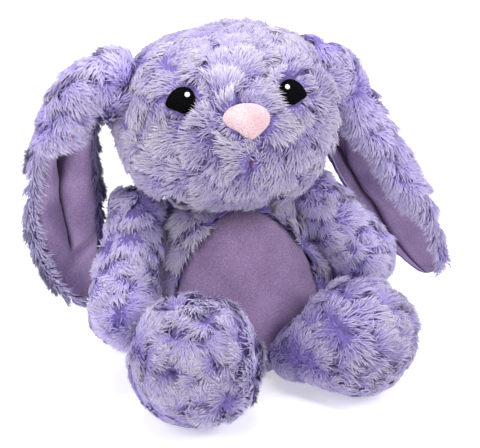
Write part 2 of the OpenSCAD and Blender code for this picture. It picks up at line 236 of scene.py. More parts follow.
# Where a Mix node keeps its factor, its two colours and its colour result.
MIX_FACTOR, MIX_A, MIX_B, MIX_RESULT = 0, 6, 7, 2


def blend_colours(nodes, links, kind, factor, a, b):
    """Mixes the colour outputs a and b with a Mix node, and returns its result."""
    made = nodes.new("ShaderNodeMix")
    made.data_type, made.blend_type = "RGBA", kind
    made.inputs[MIX_FACTOR].default_value = factor
    links.new(a, made.inputs[MIX_A])
    links.new(b, made.inputs[MIX_B])
    return made.outputs[MIX_RESULT]


PILE_SHEEN = (0.46, 0.38, 0.8, 1)


def pile_material(name, depth):
    """Pile: darkest at the root and pale at the tip (along V), each lock with its own tone (along U), which
    also carries painted shade between the petals.
    """
    made, nodes, links, shader = material(name, 0.85, 0.3, 0.6)
    shader.inputs["Sheen Tint"].default_value = PILE_SHEEN
    where = nodes.new("ShaderNodeUVMap")
    where.uv_map = "OFBake"
    parts = nodes.new("ShaderNodeSeparateXYZ")
    links.new(where.outputs["UV"], parts.inputs["Vector"])
    along = ramp(nodes, depth)
    links.new(parts.outputs["Y"], along.inputs["Fac"])
    # U carries each lock's random tone together with the painted shade between petals that coat works out.
    tone = ramp(nodes, [(0.0, (112, 99, 172)), (0.3, (186, 176, 224)), (0.62, (239, 236, 246)),
                        (1.0, (255, 255, 255))])
    links.new(parts.outputs["X"], tone.inputs["Fac"])
    both = blend_colours(nodes, links, "MULTIPLY", 1.0, along.outputs["Color"], tone.outputs["Color"])
    links.new(both, shader.inputs["Base Color"])
    return made


def cloth_material():
    """The knitted ground of the plush, seen only between the locks: deep violet, with a fine mottle."""
    made, nodes, links, shader = material("plush_ground", 0.95, 0.2)
    mottle = noise_of(nodes, links, 420, 4, 0.7)
    tint = ramp(nodes, [(0.3, (94, 79, 142)), (0.5, (118, 101, 170)), (0.75, (140, 124, 192))])
    links.new(mottle.outputs["Fac"], tint.inputs["Fac"])
    links.new(tint.outputs["Color"], shader.inputs["Base Color"])
    bump_from(nodes, links, mottle.outputs["Fac"], shader, 0.8, 0.0012)
    return made


def velour_material(name, dark, middle, light, fleck_glints=0.35):
    """Short velour: a brushed mottle, a fine nap in bump, and pinpoint flecks of sparkling fibre, their
    glints painted in as bright colour.
    """
    made, nodes, links, shader = material(name, 0.7, 0.55, 0.35)
    broad = noise_of(nodes, links, 34, 3, 0.55)
    fine = noise_of(nodes, links, 900, 3, 0.75)
    base = ramp(nodes, [(0.28, dark), (0.5, middle), (0.74, light)])
    links.new(broad.outputs["Fac"], base.inputs["Fac"])
    grain = ramp(nodes, [(0.3, (196, 190, 200)), (0.5, (232, 228, 236)), (0.68, (255, 255, 255))])
    links.new(fine.outputs["Fac"], grain.inputs["Fac"])
    napped = blend_colours(nodes, links, "MULTIPLY", 1.0, base.outputs["Color"], grain.outputs["Color"])
    # Painted glints: bright pinpoint flecks screened over the colour where the fibres sparkle.
    speck = noise_of(nodes, links, 1500, 1, 0.5)
    painted_glint = ramp(nodes, [(0.66, (0, 0, 0)), (0.74, (230, 222, 240))])
    links.new(speck.outputs["Fac"], painted_glint.inputs["Fac"])
    links.new(blend_colours(nodes, links, "SCREEN", fleck_glints, napped, painted_glint.outputs["Color"]),
              shader.inputs["Base Color"])
    bump_from(nodes, links, fine.outputs["Fac"], shader, 0.55, 0.0008)
    return made


def paint_fold_shade(made):
    """Paints shade into a material's colour with the piece's own fold attribute: the shade that falls in a
    pleat's crease.
    """
    nodes, links = made.node_tree.nodes, made.node_tree.links
    shader = nodes["Principled BSDF"]
    before = shader.inputs["Base Color"].links[0].from_socket
    fold = nodes.new("ShaderNodeAttribute")
    fold.attribute_name = "fold"
    shade = ramp(nodes, [(0.0, (255, 255, 255)), (0.5, (196, 182, 204)), (1.0, (66, 48, 78))])
    links.new(fold.outputs["Fac"], shade.inputs["Fac"])
    both = blend_colours(nodes, links, "MULTIPLY", 1.0, before, shade.outputs["Color"])
    links.new(both, shader.inputs["Base Color"])


def thread_material(name, dark, light, roughness, turn, fineness=206.35):
    """Satin stitch: parallel threads from a wave, with a mottle of lint.

    Fineness is the wave's scale: there are 20 / (2 pi) threads to the metre for each unit of it.
    """
    made, nodes, links, shader = material(name, roughness, 0.0, 0.3)
    where = nodes.new("ShaderNodeTexCoord")
    lie = nodes.new("ShaderNodeMapping")
    lie.inputs["Rotation"].default_value = turn
    links.new(where.outputs["Object"], lie.inputs["Vector"])
    rows = nodes.new("ShaderNodeTexWave")
    rows.inputs["Scale"].default_value = fineness
    rows.inputs["Distortion"].default_value = 1.2
    rows.inputs["Detail"].default_value = 2
    rows.inputs["Detail Scale"].default_value = 1.5
    links.new(lie.outputs["Vector"], rows.inputs["Vector"])
    lint = noise_of(nodes, links, 1100, 2, 0.6)
    tint = ramp(nodes, [(0.35, dark), (0.72, light)])
    links.new(lint.outputs["Fac"], tint.inputs["Fac"])
    links.new(tint.outputs["Color"], shader.inputs["Base Color"])
    bump_from(nodes, links, rows.outputs["Fac"], shader, 0.6, 0.0004)
    return made


def filling_material(name, dark, light, scale, stretch=None, rough=0.9):
    """Loose filling, beans or a woven lining: a tangle of fibre or grain."""
    made, nodes, links, shader = material(name, rough, 0.3)
    tangle = noise_of(nodes, links, scale, 5, 0.8, stretch)
    tint = ramp(nodes, [(0.3, dark), (0.7, light)])
    links.new(tangle.outputs["Fac"], tint.inputs["Fac"])
    links.new(tint.outputs["Color"], shader.inputs["Base Color"])
    bump_from(nodes, links, tangle.outputs["Fac"], shader, 0.7, 0.001)
    return made


PILE = pile_material("lavender_pile", [(0.0, (112, 94, 164)), (0.2, (150, 137, 191)),
                                       (0.6, (190, 182, 205)), (1.0, (239, 237, 233))])
# A lighter, a little bluer copy of the pile for the ears and arms: painted light where the lamps reach them
# less, with their own bluer colour.
LIT_PILE = pile_material("lit_ear_pile", [(0.0, (120, 100, 182)), (0.2, (162, 147, 220)),
                                       (0.6, (203, 193, 238)), (1.0, (246, 242, 250))])
# A darker, a little more violet copy of the pile for the legs and feet: painted shade, as the light falls
# off low down.
SHADED_PILE = pile_material("shaded_foot_pile", [(0.0, (98, 81, 152)), (0.2, (133, 119, 186)),
                                        (0.6, (173, 164, 203)), (1.0, (233, 230, 234))])
GROUND = cloth_material()
VELOUR = velour_material("mauve_velour", (148, 122, 160), (163, 138, 177), (176, 152, 190))
LINING = velour_material("lining_velour", (166, 142, 185), (183, 160, 200), (199, 178, 214), 0.5)
# Painted shade in the ear lining's fold.
paint_fold_shade(LINING)
NOSE = velour_material("nose_velour", (230, 186, 190), (241, 206, 207), (247, 222, 220), 0.5)
EYE_SPECULAR = 0.05
EYE = thread_material("eye_thread", (0, 0, 1), (13, 12, 16), 0.9, (0.3, 0.5, 0.9), 412.7)
EYE.node_tree.nodes["Principled BSDF"].inputs["Specular IOR Level"].default_value = EYE_SPECULAR
WHITE = thread_material("white_thread", (226, 228, 236), (255, 255, 255), 0.5, (0.2, 0, 0.4))
MOUTH = thread_material("mouth_thread", (92, 48, 74), (138, 84, 112), 0.7, (0, 1.2, 0))


# ---- pile: locks set out on a surface in petal-shaped tufts ------------------

NORMAL_STEP = 1e-3  # the step of u or v for a surface's normals
CELLS = 96  # cells along each side of a surface, for the spreading of locks
# On most of the panels, in millimetres: a lock's width and length, and the full height of the heaped pile.
LOCK_WIDTH, LOCK_LENGTH, HEAP = 1.05, 9.5, 5.5
# The spacing of the petals on the head and body, the ears, the tail and the limbs, in millimetres.
BIG_TUFT, EAR_TUFT, TAIL_TUFT, LIMB_TUFT = 15.0, 14.0, 11.0, 12.5


def normals_of(place, u, v, outside):
    """Unit normals of a surface by small steps along u and v, turned to the outside."""
    e = NORMAL_STEP
    along_u = place(np.minimum(u + e, 1), v) - place(np.maximum(u - e, 0), v)
    along_v = place(u, np.minimum(v + e, 1)) - place(u, np.maximum(v - e, 0))
    n = unit(np.cross(along_u, along_v))
    return n * outside


def scatter(place, count, rng):
    """Spreads count places evenly over a surface: cells picked in step with the area gathered so far."""
    g = grid_of(place, CELLS, CELLS)
    area = np.linalg.norm(np.cross(g[:-1, 1:] - g[:-1, :-1], g[1:, :-1] - g[:-1, :-1]), axis=-1)
    total = np.cumsum(area.ravel())
    pick = (np.arange(count) + rng.random(count)) / count * total[-1]
    cell = np.minimum(np.searchsorted(total, pick), CELLS * CELLS - 1)
    return (cell % CELLS + rng.random(count)) / CELLS, (cell // CELLS + rng.random(count)) / CELLS


# Darts thrown at each surface, the smallest and largest petal as parts of the spacing, and how far a
# petal's border wavers, with the length of its waves, in millimetres.
DARTS = 700
PETAL_SIZES = (0.62, 1.3)
WAVER, WAVER_LENGTH = 1.3, 9


class Tufts:
    """Middles of the petals over a region: darts kept at least a spacing apart, each with its own lie.

    The lie is the comb's way over the surface, turned by a normal draw of wild degrees.
    """

    def __init__(self, surfaces, spacing, comb, wild, seed):
        """Throws the darts over surfaces, a list of (place, outside), and draws each petal's own values."""
        rng = np.random.default_rng(seed)
        tries, ways = [], []
        for place, outside in surfaces:
            u, v = scatter(place, DARTS, rng)
            p = place(u, v)
            tries.append(p)
            ways.append(normals_of(place, u, v, outside))
        p, n = np.concatenate(tries), np.concatenate(ways)
        order = rng.permutation(len(p))
        own = spacing * rng.uniform(*PETAL_SIZES, len(p))
        kept = []
        for i in order:
            if not kept or np.all(np.sum((p[kept] - p[i]) ** 2, axis=1) > own[kept] * own[i]):
                kept.append(i)
        self.at, n = p[kept], n[kept]
        flow = comb(self.at, n)
        flow = unit(flow - n * dot(flow, n))
        turn = np.radians(rng.normal(0, wild, (len(kept), 1)))
        self.lie = unit(flow * np.cos(turn) + np.cross(n, flow) * np.sin(turn))
        self.tone = rng.uniform(-1, 1, len(kept))
        self.rise = rng.uniform(0.8, 1.25, len(kept))
        self.size = own[kept] * 0.9

    def relief(self, p, n):
        """The petal that each point lies on: its number, lie, places along and across it, pillow and front.

        Borders waver. The pillow is 1 on the petal and falls to 0 at its borders, and the front rises
        from 0 at the petal's back to 1 at its front.
        """
        q = p + np.stack([ripple(p, WAVER_LENGTH, s, 6) for s in (11, 12, 13)], axis=-1) * WAVER
        near = (q ** 2).sum(1)[:, None] - 2 * q @ self.at.T + (self.at ** 2).sum(1)[None]
        near = np.sqrt(np.maximum(near, 0)) / self.size[None]
        k = near.argmin(axis=1)
        two = np.partition(near, 1, axis=1)[:, :2]
        lie = unit(self.lie[k] - n * dot(self.lie[k], n))
        away = (p - self.at[k]) / self.size[k][:, None]
        along = np.clip(dot(away, lie), -1, 1)
        across = np.clip(dot(away, np.cross(n, lie)), -1, 1)
        pillow = smooth(0, 0.42, two[:, 1:] - two[:, :1]) ** 0.75
        front = smooth(-0.9, 0.5, along)
        return k, lie, along, across, pillow, front


def heap_of(rise, pillow, front):
    """Height of the heaped pile as a part of its full height: rise * (0.3 + 0.7 * front) * pillow."""
    return rise * (0.3 + 0.7 * front) * pillow


# A lock bends at this part of its length, the rest is this part, and it lies this much lower.
LOCK_BEND, LOCK_REST, LOCK_DIP = 0.46, 0.56, np.radians(26)


def locks(root, normal, lie, length, lift, width, curl):
    """Closed spindles of pile: a point at the root, a triangle at the bend, and a point at the tip.

    The bend is LOCK_BEND of the length along the lie, raised by its lift; the rest dips lower and curls.
    """
    side = unit(np.cross(normal, lie))
    low = lift - LOCK_DIP
    first = lie * np.cos(lift) + normal * np.sin(lift)
    lie_on = unit(lie + side * curl)
    then = lie_on * np.cos(low) + normal * np.sin(low)
    middle = root + first * length * LOCK_BEND
    tip = middle + then * length * LOCK_REST
    ring = [middle - side * width / 2, middle + side * width / 2,
            middle + (normal * np.cos(lift) - lie * np.sin(lift)) * width * 0.5]
    return np.stack([root] + ring + [tip], axis=1)


# The faces of a lock, and its places on the UV map: V from root to tip, U across the width of its tone.
LOCK_FACES = np.array([[0, 2, 1], [0, 3, 2], [0, 1, 3], [4, 1, 2], [4, 2, 3], [4, 3, 1]])
LOCK_V = np.array([0.02, LOCK_BEND, LOCK_BEND, 0.5, 0.98])
LOCK_U = np.array([0.5, 0.0, 1.0, 0.5, 0.5])
TONE_WIDTH = 0.05
SHORTEST = 0.12  # locks clipped below this part of their length are left out
EDGE_STEP = 2e-3  # a small step of u or v
FRINGE_DROP = 0.9  # how much of the heap is lost at a fringed edge


# How far the locks of a petal fan out, along and across it.
FAN_ALONG, FAN_ACROSS = 0.3, 0.9
# How far a lock strays from its way: everywhere, more at a petal's back, and more at its border.
STRAY, STRAY_BACK, STRAY_BORDER = 0.08, 0.4, 0.25
# A lock's lift in degrees: everywhere, more on the petal, more at its front, and the spread of its draw.
LIFT, LIFT_PETAL, LIFT_FRONT, LIFT_SPREAD = 8, 26, 8, 6
LIFT_LEAST, LIFT_MOST = np.radians(5), np.radians(70)
# A lock's tone, with painted shade in it: at the border, where the painted shade between petals is
# deepest; more on the petal, most at its front; the petal's own random part; the spread of its draw; and
# at a fringed edge, where the painted shade is lifted.
TONE, PAINTED_SHADE_DEPTH, TONE_OWN, TONE_SPREAD, TONE_EDGE = 0.1, 0.6, 0.09, 0.06, 0.68
# How far a lock's tip sinks under its weight, and its middle, as parts of its length and of that.
DROOP, DROOP_MIDDLE = 0.05, 0.4
# How strongly a lock's shading normals follow the surface, its own way, and its own round shape.
SOFT_SURFACE, SOFT_WAY, SOFT_OWN = 0.8, 0.25, 0.45


def coat(name, body, slot, place, outside, count, tufts, seed, length=LOCK_LENGTH, trim=None,
         sink=0.6, floor=0.3, heap=HEAP, paint=PILE, clip=None, fringe=None):
    """One panel's pile: short locks that fan out over each petal and bend down over its front edge.

    A lock is longest and stands highest at its petal's front, and lies low at its border, where painted
    shade darkens its tone.
    trim(p, n) gives which locks are kept, how long they are, which way they part and how high they stand.
    clip(u, v) shortens them, and fringe(u, v) turns them out over the panel's side edges, both 0 to 1.
    """
    rng = np.random.default_rng(seed)
    u, v = scatter(place, count, rng)
    p, n = place(u, v), normals_of(place, u, v, outside)
    keep, cut, part, high = np.ones(len(p), bool), np.ones(len(p)), np.zeros_like(p), np.ones(len(p))
    edge = np.zeros(len(p))
    if trim is not None:
        keep, cut, part, high = trim(p, n)
    if clip is not None:
        cut, high = cut * clip(u, v), high * clip(u, v)
        keep = keep & (cut > SHORTEST)
    if fringe is not None:
        edge = fringe(u, v)
        outwards = unit(place(np.minimum(u + EDGE_STEP, 1), v) - place(np.maximum(u - EDGE_STEP, 0), v))
        part = part + outwards * (np.sign(u - 0.5) * edge * 2.2)[:, None]
    edge = edge[keep]
    p, n, cut, part, high = p[keep], n[keep], cut[keep][:, None], part[keep], high[keep][:, None]
    k, lie, along, across, pillow, front = tufts.relief(p, n)
    fan = lie * (1.0 + FAN_ALONG * along) + np.cross(n, lie) * across * FAN_ACROSS
    stray = STRAY + STRAY_BACK * (1 - front) + STRAY_BORDER * (1 - pillow)
    way = unit(unit(fan) + rng.normal(0, 1, p.shape) * stray + part)
    way = unit(way - n * dot(way, n))
    size = len(p)
    rise = tufts.rise[k][:, None]
    lift = LIFT + LIFT_PETAL * pillow + LIFT_FRONT * front + rng.normal(0, LIFT_SPREAD, (size, 1))
    lift = np.clip(np.radians(lift) * mix(0.5, 1, high), LIFT_LEAST, LIFT_MOST)
    long = length * (0.85 + 0.3 * front) * rng.uniform(0.75, 1.1, (size, 1)) * mix(0.35, 1, cut)
    w = LOCK_WIDTH * rng.uniform(0.7, 1.2, (size, 1))
    stand = heap * heap_of(rise, pillow, front) * (1 - FRINGE_DROP * edge[:, None]) - sink
    root = p + n * stand * high
    shape = locks(root, n, way, long, lift, w, rng.normal(0, 0.2, (size, 1)))
    shape[:, 1:4, 2] -= long * DROOP * DROOP_MIDDLE
    shape[:, 4, 2] -= (long * DROOP)[:, 0]
    low = shape[..., 2] < floor
    shape[..., 2] = np.where(low, floor + 0.15 * rng.random(low.shape), shape[..., 2])
    # Painted shade: the tone is lowest at a petal's border and back, where shade falls between petals, and
    # is lifted at a fringed edge; the rest is each petal's and lock's random tone.
    tone = TONE + (PAINTED_SHADE_DEPTH * pillow * (0.55 + 0.45 * front))[:, 0] + TONE_OWN * tufts.tone[k]
    tone = np.clip(mix(tone, TONE_EDGE, 0.8 * edge) + rng.normal(0, TONE_SPREAD, size), 0.02, 0.92)
    points = len(LOCK_V)
    faces = (np.arange(size)[:, None, None] * points + LOCK_FACES[None]).reshape(-1, 3)
    along_u = tone[:, None] + LOCK_U[None] * TONE_WIDTH
    uv = np.stack([along_u, np.broadcast_to(LOCK_V, (size, points))], axis=-1)
    uv = uv[:, LOCK_FACES].reshape(-1, 2)
    thing = new_object(name, shape.reshape(-1, 3), faces, uv)
    soft = unit(n * SOFT_SURFACE + way * SOFT_WAY)
    own = unit(shape - shape.mean(axis=1, keepdims=True)) * SOFT_OWN + soft[:, None]
    thing.data.normals_split_custom_set_from_vertices(unit(own).reshape(-1, 3))
    dress(thing, paint, slot, body)


# The cloth stands this far outside the panel, and is never lower than this, in millimetres.
CLOTH_OUT, CLOTH_FLOOR = 0.3, 0.4


def ground(name, node, body, place, out, tufts, nu, nv, thickness=2.5, trim=None, clip=None, fringe=None):
    """The cloth and matted pile under one panel's locks: the panel's surface heaped up petal by petal."""
    def heaped(u, v):
        """The panel's points moved out by HEAP * heap_of(petal), less where the pile is trimmed."""
        p = place(u, v)
        inside = [np.clip(w, EDGE_STEP, 1 - EDGE_STEP) for w in (u, v)]
        n = normals_of(place, *inside, out)
        flat_p, flat_n = p.reshape(-1, 3), n.reshape(-1, 3)
        k, _, _, _, pillow, front = tufts.relief(flat_p, flat_n)
        cut = trim(flat_p, flat_n)[3][:, None] if trim is not None else 1.0
        if clip is not None:
            cut = cut * clip(u, v).reshape(-1, 1)
        if fringe is not None:
            cut = cut * (1 - FRINGE_DROP * fringe(u, v).reshape(-1, 1))
        high = CLOTH_OUT + HEAP * cut * heap_of(tufts.rise[k][:, None], pillow, front)
        done = flat_p + flat_n * high
        done[:, 2] = np.maximum(done[:, 2], CLOTH_FLOOR)
        return done.reshape(p.shape)

    thing = new_object(name, grid_of(heaped, nu, nv).reshape(-1, 3),
                       grid_faces(nu, nv) if out > 0 else grid_faces(nu, nv)[:, ::-1])
    finish_sheet(thing, thickness)
    dress(thing, GROUND, "plush", body, node)


# ---- head --------------------------------------------------------------------

HEAD_LO, HEAD_HI = span("head_left_panel", "head_right_panel", "head_gusset")
HEAD_HALF = (HEAD_HI - HEAD_LO) / 2
HEAD_HALF[1] = HEAD_HALF[0] * 0.904
HEAD_MID = (HEAD_LO + HEAD_HI) / 2
HEAD_MID[1] = HEAD_HI[1] - HEAD_HALF[1]
HEAD_ROUND = 2.5
MUZZLE_OUT = 7.0
FACE_TURN = math.radians(-3)
GUSSET_HALF = 24.0


def turned(d, angle):
    """Vectors turned about +Z."""
    c, s = math.cos(angle), math.sin(angle)
    return np.stack([d[..., 0] * c - d[..., 1] * s, d[..., 0] * s + d[..., 1] * c, d[..., 2]], axis=-1)


def head_reach(d):
    """Distance from the head's middle to its cloth: a rounded box with a muzzle pushed out in front."""
    x, y, z = np.abs(d[..., 0]), d[..., 1], d[..., 2]
    muzzle = np.maximum(0, -y - 0.35 * x - 0.5 * np.abs(z + 0.12) - 0.35) / 0.65
    box = ((x / HEAD_HALF[0]) ** HEAD_ROUND + (np.abs(y) / HEAD_HALF[1]) ** HEAD_ROUND
           + (np.abs(z) / HEAD_HALF[2]) ** HEAD_ROUND) ** (-1 / HEAD_ROUND)
    return box + MUZZLE_OUT * muzzle ** 2 * (3 - 2 * muzzle)


def head_panel(start, stop):
    """A panel between two angles round the nose-to-nape line, from the nose (v = 0) to the nape."""
    def place(u, v):
        """The head's reach in the direction at the angle b from the nose and a round the line."""
        a, b = np.radians(mix(start, stop, u)), np.pi * v
        d = np.stack([np.sin(b) * np.sin(a), -np.cos(b), np.sin(b) * np.cos(a)], axis=-1)
        return HEAD_MID + turned(d * head_reach(d)[..., None], FACE_TURN)
    return place


def face_way(at):
    """Direction, in the head's own frame, in which a face piece lies."""
    return turned(unit(np.asarray(at, float) - HEAD_MID), -FACE_TURN)


def on_face(d, x, y, lift):
    """Points of the face x across and y up from the direction d, raised off the cloth by lift."""
    across = unit(np.array([-d[1], d[0], 0.0]))
    high = np.cross(across, -d)
    p = unit(d * head_reach(d) + across * np.asarray(x)[..., None] + high * np.asarray(y)[..., None])
    return HEAD_MID + turned(p * (head_reach(p) + lift)[..., None], FACE_TURN)


def middle_of(node):
    """Middle of a CAD node's box, in millimetres."""
    lo, hi = span(node)
    return (lo + hi) / 2


NOSE_WAY = face_way(middle_of("nose"))
EYE_WAYS = {side: face_way(middle_of("eye_" + side)) for side in ("left", "right")}
MOUTH_UP = np.array([0, 0, 5.5])
MOUTH_WAY = face_way(middle_of("mouth_stitch") + MOUTH_UP)
NOSE_SHIFT = (1.0, 3.5)
NOSE_AT, MOUTH_AT = on_face(NOSE_WAY, *NOSE_SHIFT, 0.0), on_face(MOUTH_WAY, 0, 0, 0.0)
EYE_SHIFT = {"left": (-6.0, 2.4), "right": (6.5, 0.0)}
EYE_AT = {side: on_face(way, *EYE_SHIFT[side], 0.0) for side, way in EYE_WAYS.items()}

# Radius of an eye's outline in millimetres, and its angle from the eye's outer side, upwards positive.
EYE_ANGLES = np.array([-180, -150, -120, -95, -75, -50, -33, -24, -14, 8, 35, 70, 100, 140, 180])
EYE_RADII = 0.88 * np.array([9.6, 9.8, 10.0, 9.9, 9.3, 10.2, 12.8, 14.2, 13.0, 11.4, 10.4, 10.2, 10.2,
                             9.8, 9.6])
# The nose's half width, its reach below and above its middle, its roundness, and how far it leans.
NOSE_WIDE, NOSE_BELOW, NOSE_ABOVE, NOSE_ROUND, NOSE_LEAN = 16.0, 13.5, 10.2, 2.1, 0.16


def nose_outline(a):
    """Radius of the nose's outline: a wide rounded triangle whose low point leans to one side.

    It is a superellipse of half width NOSE_WIDE, with its lower corners drawn in.
    """
    x, y = np.cos(a) + NOSE_LEAN * np.minimum(np.sin(a), 0), np.sin(a)
    tall = np.where(y < 0, NOSE_BELOW, NOSE_ABOVE)
    r = ((np.abs(x) / NOSE_WIDE) ** NOSE_ROUND + (np.abs(y) / tall) ** NOSE_ROUND) ** (-1 / NOSE_ROUND)
    return r * (1 - 0.2 * np.maximum(0, -y * np.abs(x) * 2) ** 1.5)


def eye_outline(a):
    """Radius of an eye's outline: an almond drawn out to its outer lower corner."""
    deg = (np.degrees(a) + 180) % 360 - 180
    return np.interp(deg, EYE_ANGLES, EYE_RADII)


# Radius of the white stitch in an eye, and its place towards the nose and up from the eye's middle.
GLINT_R, GLINT_IN, GLINT_UP = 1.9, 2.6, 3.8
MOUTH_WIDE, MOUTH_TALL = 1.6, 4.4  # half width and half height of the mouth's stitch


def glint_outline(a):
    """Radius of a glint's outline: a circle."""
    return np.full_like(a, GLINT_R)


def mouth_outline(a):
    """Radius of the mouth's outline: an upright ellipse."""
    return 1 / np.sqrt((np.cos(a) / MOUTH_WIDE) ** 2 + (np.sin(a) / MOUTH_TALL) ** 2)


# How a raised piece of the face turns under: each ring's part of the outline, and its drop below the base.
RIM_OUT, RIM_DROP = np.array([1.02, 1.0, 0.9]), np.array([0.35, 1.5, 2.0])


def dome(name, way, outline, base, rise, power, mirror=1, spokes=72, rings=14, offset=(0, 0)):
    """A padded piece of the face: rings k of its outline, raised by base + rise * (1 - k^power)."""
    k = np.linspace(0, 1, rings)
    high = np.concatenate([base + rise * (1 - k ** power), base - RIM_DROP])
    k = np.concatenate([k, RIM_OUT])
    a = np.linspace(0, 2 * np.pi, spokes, endpoint=False)
    kk, aa = np.meshgrid(k, a, indexing="ij")
    r = kk * outline(aa)
    pts = on_face(way, mirror * r * np.cos(aa) + offset[0], r * np.sin(aa) + offset[1],
                  np.broadcast_to(high[:, None], kk.shape))
    rows, cols = kk.shape
    i, j = np.meshgrid(np.arange(cols), np.arange(rows - 1))
    a0, a1 = (j * cols + i).ravel(), (j * cols + (i + 1) % cols).ravel()
    thing = new_object(name, pts.reshape(-1, 3), np.stack([a0, a1, a1 + cols, a0 + cols], axis=1))
    return finish_sheet(thing)


# Round each eye and the nose: its middle, how far its outline is stretched, the radius inside which
# there is no pile, the radius where the pile is full again, and its least length.
ROUND = np.ones(3)
BARE = ((EYE_AT["left"], ROUND, 9.0, 16.0, 0.5), (EYE_AT["right"], ROUND, 9.0, 16.0, 0.5),
        (NOSE_AT, np.array([0.8, 1, 1.05]), 9.5, 16.0, 0.6))
FLAT_CORNER = np.array([-0.6, 0.0, 0.8])


def face_trim(p, n):
    """Pile on the face: none under the eyes and nose, clipped and combed away close to them.

    It is also shorter and lower on the head's flat upper corner. A trim gives, for points p and normals
    n: which locks are kept, how long they are, which way they part, and how high the pile stands.
    """
    keep, cut, part = np.ones(len(p), bool), np.ones(len(p)), np.zeros_like(p)
    for centre, stretch, inner, outer, least in BARE:
        off = (p - centre) * stretch
        d = np.linalg.norm(off, axis=1)
        keep &= d > inner
        cut *= mix(least, 1, smooth(inner, outer, d))
        part += unit(off) * (3.0 * (1 - smooth(inner, outer + 2, d)))[:, None]
    off = p - MOUTH_AT
    d = np.linalg.norm(off, axis=1)
    keep &= d > 2.5
    cut *= mix(0.5, 1, smooth(2, 9, d))
    part += unit(off) * (1.2 * (1 - smooth(3, 14, d)))[:, None]
    corner = smooth(0.6, 0.88, unit(p - HEAD_MID) @ FLAT_CORNER)
    return keep, cut * mix(1, 0.85, corner), part, cut * mix(1, 0.25, corner)


def head_comb(p, n):
    """The head's pile lies away from the nose, and a little downwards."""
    return unit(p - NOSE_AT) + np.array([0, 0, -0.25])


SMALL = {"spokes": 24, "rings": 5}  # the grid of a small stitch
HEAD_PANELS = {"head_left_panel": (180, GUSSET_HALF), "head_right_panel": (-GUSSET_HALF, -180),
               "head_gusset": (GUSSET_HALF, -GUSSET_HALF)}
head_tufts = Tufts([(head_panel(*ends), -1) for ends in HEAD_PANELS.values()], BIG_TUFT, head_comb,
                   wild=58, seed=5)
for i, (node, ends) in enumerate(HEAD_PANELS.items()):
    many, columns = (18000, 14) if node == "head_gusset" else (28000, 60)
    panel = head_panel(*ends)
    ground(node + "_cloth", node, "head", panel, -1, head_tufts, columns, 76, trim=face_trim)
    coat(node + "_pile", "head", "plush", panel, -1, many, head_tufts, 100 + i, trim=face_trim)

nose = dome("nose_pad", NOSE_WAY, nose_outline, base=4.5, rise=4.5, power=2.4, offset=NOSE_SHIFT)
dress(nose, NOSE, "nose_velour", "head", "nose")
for side, mirror in (("left", 1), ("right", -1)):
    x, y = EYE_SHIFT[side]
    eye = dome(f"eye_{side}_stitching", EYE_WAYS[side], eye_outline, base=4.2, rise=1.6, power=2.2,
               mirror=mirror, offset=(x, y))
    dress(eye, EYE, "eye_thread", "head", "eye_" + side)
    glint = dome(f"eye_{side}_glint", EYE_WAYS[side], glint_outline, base=5.2, rise=0.9, power=2.0,
                 offset=(x - mirror * GLINT_IN, y + GLINT_UP), **SMALL)
    dress(glint, WHITE, "white_thread", "head", "eye_glint_" + side)
mouth = dome("mouth_stitching", MOUTH_WAY, mouth_outline, base=1.5, rise=1.2, power=2.0, **SMALL)
dress(mouth, MOUTH, "mouth_thread", "head", "mouth_stitch")


# ---- ears --------------------------------------------------------------------

# Each ear's middle line from its hinge, the radius of its rolled root, and the way that its lining faces.
EAR_PATHS = {
    "right": [[14, -1, -2], [-17, 4, -11], [-33, 10, -46],
              [-37, 16, -96], [-33, 16, -138], [-19, 12, -174]],
    "left": [[-13, -2, 11], [15, 6, -14], [33, 12, -48],
             [57, 16, -90], [82, 17, -134], [105, 15, -186]]}
EAR_ROOT_R = {"right": 15.5, "left": 13.0}
EAR_FACES = {"right": np.array([0.25, -1.0, 0.0]), "left": np.array([-0.55, -0.8, -0.25])}
EAR_ROOTS = {side: joint_at(f"ear_{side}_lift") for side in ("left", "right")}
# Width of the trough at the head and at its widest, where along the ear that is, and how far on it ends.
EAR_NARROW, EAR_WIDE, EAR_WIDEST_AT, EAR_TIP = 16.0, 42.0, 0.6, 0.41
EAR_OPEN = math.radians(62)  # the half angle of the trough at which its chord is the ear's width
EAR_BACK_OUT = 4.5  # how far the plush stands behind the lining
LOBES = {"right": 13.0, "left": 9.0}  # how far the lining swells on each side of its fold
LINING_GRID = (60, 110)


def ear_width(k):
    """Width of the trough of the ear: narrow at the head, widest past the middle, with a round tip."""
    grow = np.sin(np.radians(150 * np.minimum(k, EAR_WIDEST_AT))) ** 0.8
    past = (np.maximum(k, EAR_WIDEST_AT) - EAR_WIDEST_AT) / EAR_TIP
    return np.where(k < EAR_WIDEST_AT, mix(EAR_NARROW, EAR_WIDE, grow),
                    EAR_WIDE * np.sqrt(np.maximum(0.04, 1 - past ** 2)))


def ear_edges(side, k):
    """How far the two edges are rolled round, in degrees: (towards q = -1, towards q = +1)."""
    if side == "right":
        return (mix(165, 60, smooth(0.13, 0.27, k)), mix(165, 66, smooth(0.33, 0.45, k)))
    outer = mix(mix(168, 136, smooth(0.3, 0.5, k)), 62, smooth(0.62, 0.95, k))
    return (outer, mix(150, 50, smooth(0.14, 0.3, k)))


# Its first value, the fold's depth, is also the mask of the painted shade in the lining's crease.
def fold_depth(side, u, v):
    """How deep in the lining's fold a place lies, 1 at the bottom: a gap that narrows towards the tip.

    Also gives the way from the fold (0) to the edge (1), and on which side of it the place is.
    """
    q, k = 2 * u - 1, v
    if side == "right":
        line = mix(0.2, 0.04, smooth(0.3, 0.6, k)) + 0.07 * np.sin(k * 14 + 0.5)
        gap = mix(0.34, 0.08, smooth(0.36, 0.6, k))
        ends = 1 - smooth(0.74, 0.82, k)
    else:
        line = 0.72
        gap = mix(0.16, 0.08, smooth(0.4, 0.6, k))
        ends = 1.0
    fold = q - line
    far = np.where(fold < 0, 1 + line, 1 - line)
    s = np.clip(np.abs(fold) / np.maximum(far, 0.2), 0, 1)
    return np.exp(-(s / gap) ** 2) * ends, s, np.sign(fold)


